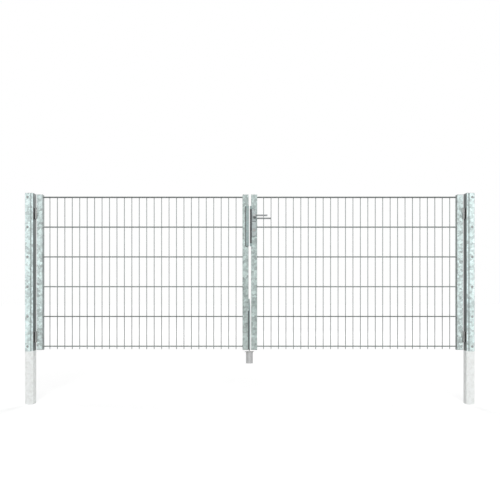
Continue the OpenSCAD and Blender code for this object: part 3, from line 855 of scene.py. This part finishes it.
@dataclass
class Leaf(SubAssembly):
    """One leaf's stiles, caps and welded mesh."""

    side: Side = Side.LEFT
    rows: int = 6
    row_pitch: float = 200.0 * MM
    wire_pitch: float = 50.0 * MM
    rod_y: float = 5.5 * MM
    rod_r: float = 4.0 * MM
    rod_seed: int = 31
    crossing_seed: int = 51

    def build(self) -> None:
        """Dress the leaf, then add its welds."""
        for finish, part in ((Paintbox.STILE, "hinge_stile"), (Paintbox.MEETING, "meeting_stile"),
                             (Paintbox.CAP, "stile_caps"), (Paintbox.WIRE, "mesh")):
            self.dress(finish, f"{self.side.word}_{part}")
        self.rod_welds()
        self.crossing_welds()

    def row_heights(self) -> list[float]:
        """Give the heights of the rows of rods."""
        top = self.box(f"{self.side.word}_mesh")[1].z - self.rod_r
        return [top - index * self.row_pitch for index in range(self.rows)]

    def rod_welds(self) -> None:
        """Weld the rods' ends to the stiles."""
        low, high = self.box(f"{self.side.word}_mesh")
        chance = random.Random(self.rod_seed + self.side.value)
        welds = Piece(f"{self.side.word}_rod_welds")
        for level in self.row_heights():
            for depth in (-self.rod_y, self.rod_y):
                for face, way in ((low.x, 1.0), (high.x, -1.0)):
                    grow = chance.uniform(0.85, 1.15)
                    profile = [(6.3 * MM * grow, -0.6 * MM), (5.9 * MM * grow, 0.7 * MM),
                               (5.1 * MM, 1.8 * MM), (4.4 * MM, 3.0 * MM * grow),
                               (3.6 * MM, 3.4 * MM * grow), (3.4 * MM, -0.6 * MM)]
                    place = facing(Vector((face, depth, level)), Vector((way, 0.0, 0.0)))
                    welds.lathe(profile, place, 14, closed=True)
        welds.done(self.side.leaf, Slot.WIRE, self.paints.get(Paintbox.WELD))

    def crossing_welds(self) -> None:
        """Add the flat nuggets where wires and rods are fused."""
        low, high = self.box(f"{self.side.word}_mesh")
        chance = random.Random(self.crossing_seed + self.side.value)
        welds = Piece(f"{self.side.word}_crossing_welds")
        count = int((high.x - low.x) / self.wire_pitch)
        first = (low.x + high.x - (count - 1) * self.wire_pitch) / 2.0
        touch = self.rod_y - self.rod_r * 0.8
        for level in self.row_heights():
            for index in range(count):
                for way in (-1.0, 1.0):
                    grow = chance.uniform(0.9, 1.1)
                    profile = [(1.2 * MM, -1.5 * MM), (3.3 * MM * grow, -0.9 * MM), (3.8 * MM * grow, 0.0),
                               (3.3 * MM * grow, 0.9 * MM), (1.2 * MM, 1.5 * MM)]
                    where = Vector((first + index * self.wire_pitch, way * touch, level))
                    welds.lathe(profile, facing(where, BACK), 10)
        welds.done(self.side.leaf, Slot.WIRE, self.paints.get(Paintbox.WIRE))


@dataclass
class Hinges(SubAssembly):
    """The hinges of one leaf, with their pads, welds and pin caps."""

    side: Side = Side.LEFT
    knuckle_r: float = 7.5 * MM
    half_h: float = 35.5 * MM
    pad_reach: float = 12.0 * MM
    bead_r: float = 1.5 * MM
    seed: int = 71

    def build(self) -> None:
        """Dress the hinges, then add the pin caps and pad welds."""
        word = self.side.word
        self.dress(Paintbox.HINGE, f"{word}_hinge_pins", f"{word}_hinge_knuckles")
        self.pin_caps()
        self.pad_welds()

    def levels(self, node: str) -> list[float]:
        """Give the tops of the lower and the upper hinge's halves in a node."""
        low, high = self.box(node)
        return [low.z + self.half_h, high.z]

    def pin_caps(self) -> None:
        """Close the top of each knuckle with a domed cap."""
        node = f"{self.side.word}_hinge_knuckles"
        low, high = self.box(node)
        axis = high.x - self.knuckle_r if self.side is Side.RIGHT else low.x + self.knuckle_r
        caps = Piece(f"{self.side.word}_pin_caps")
        profile = [(6.6 * MM, -0.4 * MM), (6.8 * MM, 0.7 * MM), (6.1 * MM, 1.6 * MM), (4.5 * MM, 2.3 * MM),
                   (2.3 * MM, 2.7 * MM), (0.5 * MM, 2.8 * MM)]
        for top in self.levels(node):
            caps.lathe(profile, facing(Vector((axis, low.y + self.knuckle_r, top)), UP))
        caps.done(self.side.leaf, Slot.HINGE, self.paints.get(Paintbox.HINGE))

    def pad_welds(self) -> None:
        """Weld the pads to the stile."""
        node = f"{self.side.word}_hinge_knuckles"
        low, high = self.box(node)
        stile = self.box(f"{self.side.word}_hinge_stile")
        edge = low.x if self.side is Side.RIGHT else high.x
        corner = edge + self.side.value * self.pad_reach
        chance = random.Random(self.seed + self.side.value)
        welds = Piece(f"{self.side.word}_pad_welds")
        for top in self.levels(node):
            foot = top - self.half_h + 2.0 * MM
            start = Vector((edge, stile[0].y, foot))
            welds.bead([start, Vector((edge, stile[0].y, top - 1.0 * MM)),
                        Vector((corner, stile[0].y, top - 0.2 * MM))], self.bead_r, chance)
        welds.done(self.side.leaf, Slot.HINGE, self.paints.get(Paintbox.WELD))


@dataclass
class ScrewKit(SubAssembly):
    """The shared screw head; a level of no radius follows the cross recess."""

    head_r: float = 4.2 * MM
    head_h: float = 1.3 * MM
    sides: int = 24
    recess: float = 0.22
    arm: float = 0.30
    arm_power: int = 6
    levels: Steps = ((1.0, -0.3), (1.0, 0.15), (0.86, 0.62), (0.62, 0.9), (0.0, 0.98), (0.0, 0.2))

    def head(self, piece: Piece, where: Vector, toward: Vector, size: float = 1.0, turn: float = 0.4) -> None:
        """Add a domed screw head with a cross recess.

        Args:
            piece: The piece that gets it.
            where: The middle of its foot.
            toward: The way it faces.
            size: What its radius is multiplied by.
            turn: The angle of its recess, in radians.
        """
        radius = self.head_r * size
        place = facing(where, toward)
        angles = [TURN * index / self.sides + turn for index in range(self.sides)]
        cross = [self.recess + self.arm * abs(math.cos(2.0 * (angle - turn))) ** self.arm_power
                 for angle in angles]
        rings = []
        for share, height in self.levels:
            shares = [share] * self.sides if share else cross
            rings.append([place @ Vector((radius * reach * math.cos(angle), radius * reach * math.sin(angle),
                                          self.head_h * height)) for angle, reach in zip(angles, shares)])
        piece.ring_skin(rings)

    def build(self) -> None:
        """Build nothing until another sub-assembly asks."""


@dataclass
class Lock(SubAssembly):
    """The lever lock on the right leaf."""

    kit: ScrewKit | None = None
    screw_inset: float = 8.0 * MM
    seam_drop: float = -29.0 * MM
    seam_half: float = 1.8 * MM
    seam_depth: float = 1.35 * MM
    seam_sunk: float = 0.15 * MM
    seam_inset: float = 1.6 * MM
    rose_r: float = 12.2 * MM
    barrel_r: float = 8.5 * MM

    def build(self) -> None:
        """Dress the lock, then add its screws, joint seams and cylinder roses."""
        # The forend's dark colour is painted shade for the gap between the leaves.
        for finish, *nodes in (
                (Paintbox.LOCK_STEEL, "lock_case"), (Paintbox.DARK_PLATE, "lock_forend"),
                (Paintbox.LOCK_PLATE, "front_lock_plate", "back_lock_plate"), (Paintbox.ROD, "lever_spindle"),
                (Paintbox.LEVER, "front_lever", "back_lever"), (Paintbox.BRASS, "key_cylinder"),
                (Paintbox.FITTING, "lock_end_blocks")):
            self.dress(finish, *nodes)
        self.plate_screws()
        self.plate_joints()
        self.cylinder_roses()

    def plates(self) -> Iterator[tuple[Vector, Vector, float, Vector]]:
        """Go through the cover plates.

        Yields:
            Both corners, the outer face's Y and the way that it looks.
        """
        for node, way in (("front_lock_plate", FRONT), ("back_lock_plate", BACK)):
            low, high = self.box(node)
            yield low, high, low.y if way is FRONT else high.y, way

    def plate_screws(self) -> None:
        """Screw both cover plates on."""
        screws = Piece("lock_plate_screws")
        for low, high, face, way in self.plates():
            middle = (low.x + high.x) / 2.0
            for index, level in enumerate((low.z + self.screw_inset, high.z - self.screw_inset)):
                self.kit.head(screws, Vector((middle, face, level)), way, size=0.9, turn=0.3 + index)
        screws.done(Body.RIGHT_LEAF, Slot.SCREW, self.paints.get(Paintbox.SCREW))

    def plate_joints(self) -> None:
        """Lay a dark seam in the joint of each cover plate, standing for the shade in its groove: painted
        shade.
        """
        seams = Piece("plate_seams")
        level = self.box("lever_spindle")[0].z + self.seam_drop
        half = self.seam_half
        for low, high, face, way in self.plates():
            deep = face - way.y * self.seam_depth
            shallow = face - way.y * self.seam_sunk
            section = ((deep, -half), (shallow, -half), (shallow, half), (deep, half))
            seams.ring_skin([[Vector((x, y, level + rise)) for y, rise in section]
                             for x in (low.x + self.seam_inset, high.x - self.seam_inset)])
        seams.done(Body.RIGHT_LEAF, Slot.PLATE, self.paints.get(Paintbox.RUBBER))

    def cylinder_roses(self) -> None:
        """Put a flat ring round each end of the key cylinder."""
        first, last = self.box("key_cylinder")
        roses = Piece("cylinder_roses")
        middle = (first + last) / 2.0
        bore_r = self.barrel_r + 0.15 * MM
        profile = [(bore_r, -0.5 * MM), (self.rose_r, -0.5 * MM), (self.rose_r, 0.6 * MM),
                   (self.rose_r - 1.0 * MM, 1.4 * MM), (self.barrel_r + 0.9 * MM, 1.4 * MM),
                   (bore_r, 0.9 * MM)]
        for _, _, face, way in self.plates():
            roses.lathe(profile, facing(Vector((middle.x, face, middle.z)), way), 40, closed=True)
        roses.done(Body.RIGHT_LEAF, Slot.LOCK_STEEL, self.paints.get(Paintbox.LOCK_PLATE))


@dataclass
class Strike(SubAssembly):
    """The strike plate on the left leaf, with its screws and a black rubber edge that paints the shade line
    along it.
    """

    kit: ScrewKit | None = None
    screw_share: float = 0.36
    screw_levels: tuple[float, ...] = (0.08, 0.36, 0.64, 0.92)
    seam_half: float = 2.5 * MM
    seam_t: float = 2.0 * MM
    seam_path: Steps = ((0.0, 1.0), (0.0, -3.0), (1.0, -5.2), (3.5, -6.4), (14.5, -6.4))

    def build(self) -> None:
        """Dress the strike, then add its screws and the lead of its gasket, a dark strip of painted shade
        under the plate's foot.
        """
        self.dress(Paintbox.FITTING, "strike_plate", "strike_end_blocks")
        # The rubber buffer's black paints the shade line along the plate's edge.
        self.dress(Paintbox.RUBBER, "strike_buffer")
        self.plate_screws()
        self.foot_seam()

    def plate_screws(self) -> None:
        """Screw the front plate to the stile."""
        low, high = self.box("strike_plate")
        screws = Piece("strike_screws")
        column = low.x + (high.x - low.x) * self.screw_share
        for index, share in enumerate(self.screw_levels):
            level = low.z + (high.z - low.z) * share
            self.kit.head(screws, Vector((column, low.y, level)), FRONT, turn=0.5 * index)
        screws.done(Body.LEFT_LEAF, Slot.SCREW, self.paints.get(Paintbox.SCREW))

    def foot_seam(self) -> None:
        """Lead the gasket round under the foot of the front plate, as painted shade below the foot."""
        low = self.box("strike_buffer")[0]
        start = Vector((low.x + self.seam_half, low.y, low.z))
        points = [start + Vector((along, 0.0, drop)) * MM for along, drop in self.seam_path]
        seam = Piece("strike_foot_seam")
        rings = []
        for index, point in enumerate(points):
            ahead = points[min(index + 1, len(points) - 1)] - points[max(index - 1, 0)]
            across = Vector((-ahead.z, 0.0, ahead.x)).normalized() * self.seam_half
            deep = point + BACK * self.seam_t
            rings.append([point + across, point - across, deep - across, deep + across])
        seam.ring_skin(rings)
        seam.done(Body.LEFT_LEAF, Slot.RUBBER, self.paints.get(Paintbox.RUBBER))


@dataclass
class DropBolt(SubAssembly):
    """The drop bolt on the left leaf: guides, cover, rod, grip and a black seal that paints the shade line
    beside the cover.
    """

    bead_r: float = 1.3 * MM
    guide_h: float = 30.0 * MM
    seed: int = 91

    def build(self) -> None:
        """Dress the bolt, then weld its guides on."""
        self.dress(Paintbox.FITTING, "bolt_guides", "bolt_cover", "drop_rod_grip")
        # The black seal paints the shade line between the stile and the cover.
        self.dress(Paintbox.RUBBER, "bolt_seal")
        self.dress(Paintbox.ROD, "drop_rod")
        low, high = self.box("bolt_guides")
        chance = random.Random(self.seed)
        welds = Piece("guide_welds")
        for foot in (low.z, high.z - self.guide_h):
            for edge in (low.y, high.y):
                start = Vector((low.x, edge, foot + 1.5 * MM))
                welds.bead([start, start + UP * (self.guide_h - 3.0 * MM)], self.bead_r, chance)
        welds.done(Body.LEFT_LEAF, Slot.FITTING, self.paints.get(Paintbox.WELD))


@dataclass
class GroundSleeve(SubAssembly):
    """The sleeve in the ground that takes the drop rod."""

    tube_r: float = 23.0 * MM
    flange_t: float = 3.0 * MM
    bead_r: float = 1.4 * MM
    ripple: float = 6.0 * MM
    corners: int = 48
    seed: int = 101

    def build(self) -> None:
        """Dress the sleeve, then weld its flange to its tube."""
        self.dress(Paintbox.SLEEVE, "ground_sleeve")
        low, high = self.box("ground_sleeve")
        middle = (low + high) / 2.0
        chance = random.Random(self.seed)
        weld = Piece("sleeve_weld")
        foot = high.z - self.flange_t
        ring = [Vector((middle.x + self.tube_r * math.cos(t), middle.y + self.tube_r * math.sin(t), foot))
                for t in (TURN * step / self.corners for step in range(self.corners + 1))]
        weld.bead(ring, self.bead_r, chance, self.ripple)
        weld.done(Body.POSTS, Slot.SLEEVE, self.paints.get(Paintbox.WELD))


@dataclass
class Studio:
    """The floor, the soft lamps, the pale surround and the camera."""

    span: float = 60.0
    eye: Point = (1.4731, -4.0539, 0.7066)
    lens: float = 43.456
    rise: float = 0.097
    surround: float = 0.22
    aim: Point = (0.0, 0.0, 0.9)
    lamps: tuple[tuple[str, Point, float, float], ...] = (
        ("front lamp", (0.4, -8.5, 3.6), 3.0, 420.0), ("back lamp", (1.0, 8.0, 4.6), 3.0, 252.0),
        ("left lamp", (-8.0, 0.6, 3.4), 2.6, 117.6), ("right lamp", (8.0, 0.6, 3.4), 2.6, 117.6))
    glow_steps: Steps = ((0.0, 0.50), (4.5, 0.50), (5.7, 0.53), (7.2, 0.61), (8.6, 0.72), (9.5, 0.79),
                         (10.5, 0.825), (12.0, 0.835), (16.0, 0.84))
    front_pool: Point = (0.15, -7.0, 0.0)
    front_steps: Steps = ((0.0, 1.0), (1.0, 0.85), (2.0, 0.55), (3.0, 0.1), (4.0, 0.0))
    front_dim: float = 0.4
    front_glow: float = 0.45
    pool: Point = (0.8, 6.6, 0.0)
    pool_steps: Steps = ((0.0, 0.32), (1.0, 0.28), (2.0, 0.18), (2.8, 0.11), (3.8, 0.03), (5.0, 0.0))

    def build(self) -> None:
        """Set up the whole studio."""
        self.world()
        self.floor()
        for lamp in self.lamps:
            self.lamp(*lamp)
        self.camera()

    @staticmethod
    def seen(sheet: NodeSheet) -> Socket:
        """Tell whether a ray comes from the camera, a gloss or a clear piece.

        Args:
            sheet: The sheet that gets the nodes.

        Returns:
            1 where it does.
        """
        path = sheet.put("ShaderNodeLightPath").outputs
        gloss = sheet.math("MAXIMUM", path["Is Glossy Ray"], path["Is Transmission Ray"])
        return sheet.math("MAXIMUM", path["Is Camera Ray"], gloss)

    def world(self) -> None:
        """Surround the gate with white that is seen, and a lower even light."""
        made = bpy.data.worlds.new("pale surround")
        bpy.context.scene.world = made
        made.use_nodes = True
        sheet = NodeSheet(made.node_tree)
        strength = sheet.remap(self.seen(sheet), 0.0, 1.0, self.surround, 1.0)
        feeds = {"Color": (1.0, 1.0, 1.0, 1.0), "Strength": strength}
        background = sheet.put("ShaderNodeBackground", feeds)
        sheet.put("ShaderNodeOutputWorld", {"Surface": background.outputs[0]})

    def floor(self) -> None:
        """Lay the pale floor under the posts' feet."""
        mesh = bmesh.new()
        bmesh.ops.create_grid(mesh, x_segments=8, y_segments=8, size=self.span)
        data = bpy.data.meshes.new("floor")
        mesh.to_mesh(data)
        mesh.free()
        made = bpy.data.objects.new("floor", data)
        made.location = (MIDDLE_X, 0.0, -0.0005)
        bpy.context.scene.collection.objects.link(made)
        material = bpy.data.materials.new("pale floor")
        material.use_nodes = True
        sheet = NodeSheet(material.node_tree)
        direct = sheet.put("ShaderNodeLightPath").outputs["Is Camera Ray"]
        front = sheet.product(direct, self.graded(sheet, self.front_pool, self.front_steps))
        tone = sheet.mix(sheet.product(front, self.front_dim), (0.8, 0.8, 0.8), (0.0, 0.0, 0.0))
        lift = self.graded(sheet, (0.0, 0.0, 0.0), self.glow_steps)
        for less in (self.graded(sheet, self.pool, self.pool_steps), sheet.product(front, self.front_glow)):
            lift = sheet.math("SUBTRACT", lift, less)
        matt = sheet.put("ShaderNodeBsdfDiffuse", {"Color": tone})
        glow = sheet.put("ShaderNodeEmission", {"Strength": sheet.product(self.seen(sheet), lift)})
        both = sheet.put("ShaderNodeAddShader", {0: matt.outputs[0], 1: glow.outputs[0]})
        sheet.put("ShaderNodeOutputMaterial", {"Surface": both.outputs[0]})
        data.materials.append(material)
        made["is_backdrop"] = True

    @staticmethod
    def graded(sheet: NodeSheet, centre: Point, steps: Steps) -> Socket:
        """Grade a value by the distance from a point of the floor.

        Args:
            sheet: The sheet that gets the nodes.
            centre: The point.
            steps: Distances and the value at each.

        Returns:
            The value, which stays the same beyond the last step.
        """
        away = sheet.put("ShaderNodeVectorMath", {0: sheet.place(), 1: centre}, operation="DISTANCE")
        last = steps[-1][0]
        ramp = sheet.put("ShaderNodeValToRGB", {0: sheet.math("DIVIDE", away.outputs["Value"], last)})
        stops = ramp.color_ramp.elements
        while len(stops) < len(steps):
            stops.new(0.5)
        for stop, (distance, value) in zip(stops, steps):
            stop.position = distance / last
            stop.color = (value, value, value, 1.0)
        return ramp.outputs[0]

    def lamp(self, name: str, where: Point, size: float, watts: float) -> None:
        """Hang a soft square lamp that faces the gate.

        Args:
            name: The lamp's name.
            where: Its place from the foot of the plane between the leaves.
            size: Its width.
            watts: Its power.
        """
        data = bpy.data.lights.new(name, "AREA")
        data.size = size
        data.energy = watts
        made = bpy.data.objects.new(name, data)
        made.location = Vector((MIDDLE_X, 0.0, 0.0)) + Vector(where)
        made.rotation_euler = (Vector(self.aim) - Vector(where)).to_track_quat("-Z", "Y").to_euler()
        bpy.context.scene.collection.objects.link(made)

    def camera(self) -> None:
        """Stand the camera level in front of the gate."""
        data = bpy.data.cameras.new("camera")
        data.sensor_width = 36.0
        data.lens = self.lens
        data.shift_y = self.rise
        made = bpy.data.objects.new("camera", data)
        made.location = self.eye
        made.rotation_euler = (math.radians(90.0), 0.0, 0.0)
        bpy.context.scene.collection.objects.link(made)
        bpy.context.scene.camera = made


def corners(box: Sequence[Sequence[float]]) -> list[list[float]]:
    """Turn a box's lowest and highest corners into plain lists of numbers."""
    return [[float(value) for value in corner] for corner in box]


def main() -> None:
    """Load the frame, dress and complete every sub-assembly, and set up the studio."""
    logging.basicConfig(level=logging.INFO, format="%(name)s: %(message)s")
    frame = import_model()
    solid_box = corners(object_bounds())
    paints = Paintbox(Effects())
    kit = ScrewKit(frame, paints)
    bpy.context.scene.view_settings.view_transform = "Standard"
    parts: list[SubAssembly] = [Posts(frame, paints)]
    for side in Side:
        parts.append(Leaf(frame, paints, side=side))
        parts.append(Hinges(frame, paints, side=side))
    parts += [Lock(frame, paints, kit=kit), Strike(frame, paints, kit=kit), DropBolt(frame, paints),
              GroundSleeve(frame, paints)]
    for part in parts:
        part.build()
        log.info("%s is built", type(part).__name__)
    Studio().build()
    {"solid": solid_box, "visual": corners(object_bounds())}


if __name__ == "__main__":
    main()
